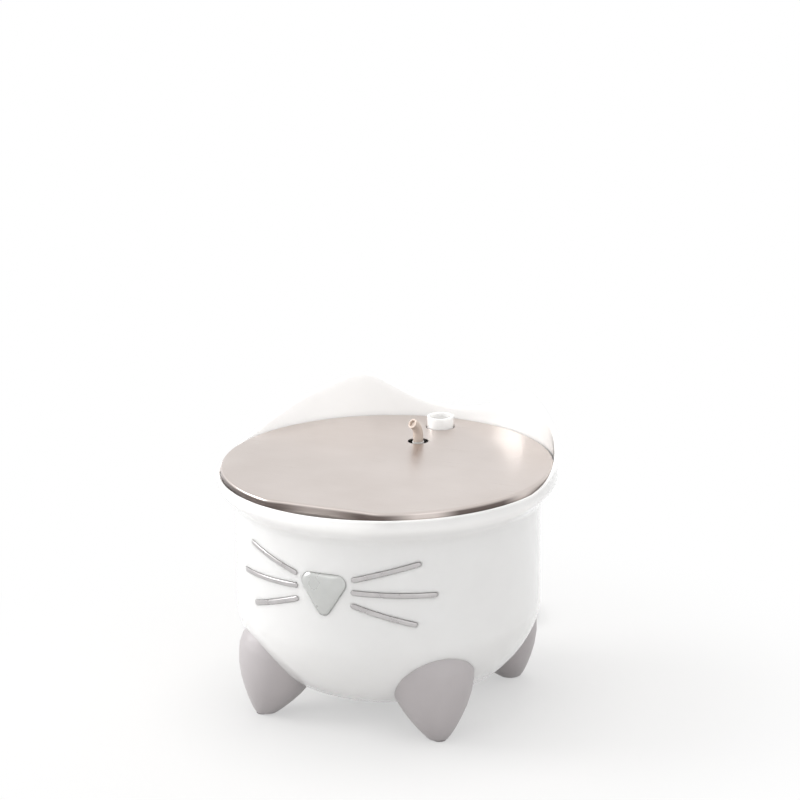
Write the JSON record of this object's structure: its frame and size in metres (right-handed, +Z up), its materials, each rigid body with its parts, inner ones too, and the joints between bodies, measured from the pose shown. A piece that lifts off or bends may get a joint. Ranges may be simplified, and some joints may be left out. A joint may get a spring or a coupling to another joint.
{
  "type": "pet water fountain",
  "caption": "Round footed water bowl with ear-shaped rim, steel drinking plate, filter tray, submersible pump, riser and small swivelling spout.",
  "frame": {"origin": "on the floor, under the middle of the round bowl", "axes": "+Z up, +Y to the back where the ears stand, -Y to the face with nose and whiskers"},
  "size_m": [0.2371, 0.3238, 0.1988],
  "materials": {
    "white_plastic": "gloss",
    "grey_plastic": "satin",
    "rubber_pads": "matte",
    "screw_steel": "satin",
    "nose_plastic": "satin",
    "cord_rubber": "matte",
    "plug_plastic": "matte",
    "plug_metal": "polished",
    "plate_steel": "brushed",
    "clear_plastic": "gloss",
    "spout_rubber": "matte",
    "tray_plastic": "satin",
    "filter_fabric": "matte",
    "carbon_grains": "matte",
    "resin_beads": "satin",
    "pump_plastic": "satin",
    "stator_iron": "matte",
    "shaft_steel": "polished",
    "rotor_plastic": "satin",
    "knob_plastic": "satin",
    "red_lens": "gloss",
    "sensor_lens": "gloss",
    "tube_plastic": "gloss"
  },
  "bodies": {
    "bowl": {"bowl": "white_plastic", "foot_front_left": "grey_plastic", "foot_front_right": "grey_plastic", "foot_rear_left": "grey_plastic", "foot_rear_right": "grey_plastic", "foot_pads": "rubber_pads", "foot_screws": "screw_steel", "nose_cover": "nose_plastic", "whisker_left_upper": "grey_plastic", "whisker_left_middle": "grey_plastic", "whisker_left_lower": "grey_plastic", "whisker_right_upper": "grey_plastic", "whisker_right_middle": "grey_plastic", "whisker_right_lower": "grey_plastic", "cord_bush": "cord_rubber", "inner_lead": "cord_rubber", "outer_cord": "cord_rubber", "cord_coil": "cord_rubber", "cord_tail": "cord_rubber", "plug_body": "plug_plastic", "plug_shell": "plug_metal"},
    "cover": {"cover": "white_plastic"},
    "plate": {"steel_plate": "plate_steel"},
    "sleeve": {"spout_sleeve": "clear_plastic"},
    "tip": {"spout_tip": "spout_rubber"},
    "tray": {"filter_tray": "tray_plastic"},
    "filter": {"filter_pouch": "filter_fabric", "filter_felt": "filter_fabric", "carbon_fill": "carbon_grains", "resin_fill": "resin_beads"},
    "pump": {"pump_housing": "pump_plastic", "pump_volute": "pump_plastic", "pump_stator": "stator_iron", "pump_shaft": "shaft_steel", "level_led": "red_lens", "light_sensor": "sensor_lens", "pump_gland": "cord_rubber"},
    "intake": {"pump_intake": "pump_plastic"},
    "rotor": {"impeller": "rotor_plastic"},
    "knob": {"flow_knob": "knob_plastic"},
    "tube": {"riser_tube": "tube_plastic"}
  },
  "joints": [
    {"name": "cover_lift", "type": "slide", "parent": "bowl", "child": "cover", "axis": [0, 0, 1], "range_m": [0, 0.1558]},
    {"name": "plate_lift", "type": "slide", "parent": "cover", "child": "plate", "axis": [0, 0, 1], "range_m": [0, 0.0638]},
    {"name": "spout_lift", "type": "slide", "parent": "plate", "child": "sleeve", "axis": [0, 0, 1], "range_m": [0, 0.0267]},
    {"name": "spout_swivel", "type": "hinge", "parent": "sleeve", "child": "tip", "pos_m": [0, 0.052, 0.17], "axis": [0, 0, 1], "continuous": true},
    {"name": "tray_slide", "type": "slide", "parent": "cover", "child": "tray", "axis": [0, -1, 0], "range_m": [0, 0.198]},
    {"name": "filter_lift", "type": "slide", "parent": "tray", "child": "filter", "axis": [0, 0, 1], "range_m": [0, 0.0365]},
    {"name": "pump_lift", "type": "slide", "parent": "bowl", "child": "pump", "axis": [0, 0, 1], "range_m": [0, 0.1285], "deforming": ["inner_lead"]},
    {"name": "tube_lift", "type": "slide", "parent": "pump", "child": "tube", "axis": [0, 0, 1], "range_m": [0, 0.0119]},
    {"name": "intake_slide", "type": "slide", "parent": "pump", "child": "intake", "axis": [0.5736, 0.8192, 0], "range_m": [0, 0.008]},
    {"name": "impeller_spin", "type": "hinge", "parent": "pump", "child": "rotor", "pos_m": [-0.00516, 0.04463, 0.0485], "axis": [0.5736, 0.8192, 0], "continuous": true},
    {"name": "knob_turn", "type": "hinge", "parent": "pump", "child": "knob", "pos_m": [-0.02818, 0.03145, 0.0575], "axis": [-0.5736, -0.8192, 0], "range_deg": [-90, 90]}
  ],
  "couplings": [
    {"joint": "pump_lift", "follows": "cover_lift", "ratio": 0.8247},
    {"joint": "tube_lift", "follows": "cover_lift", "ratio": 0.0763},
    {"joint": "tray_slide", "follows": "cover_lift", "ratio": 1.2708},
    {"joint": "filter_lift", "follows": "cover_lift", "ratio": 0.2342}
  ]
}
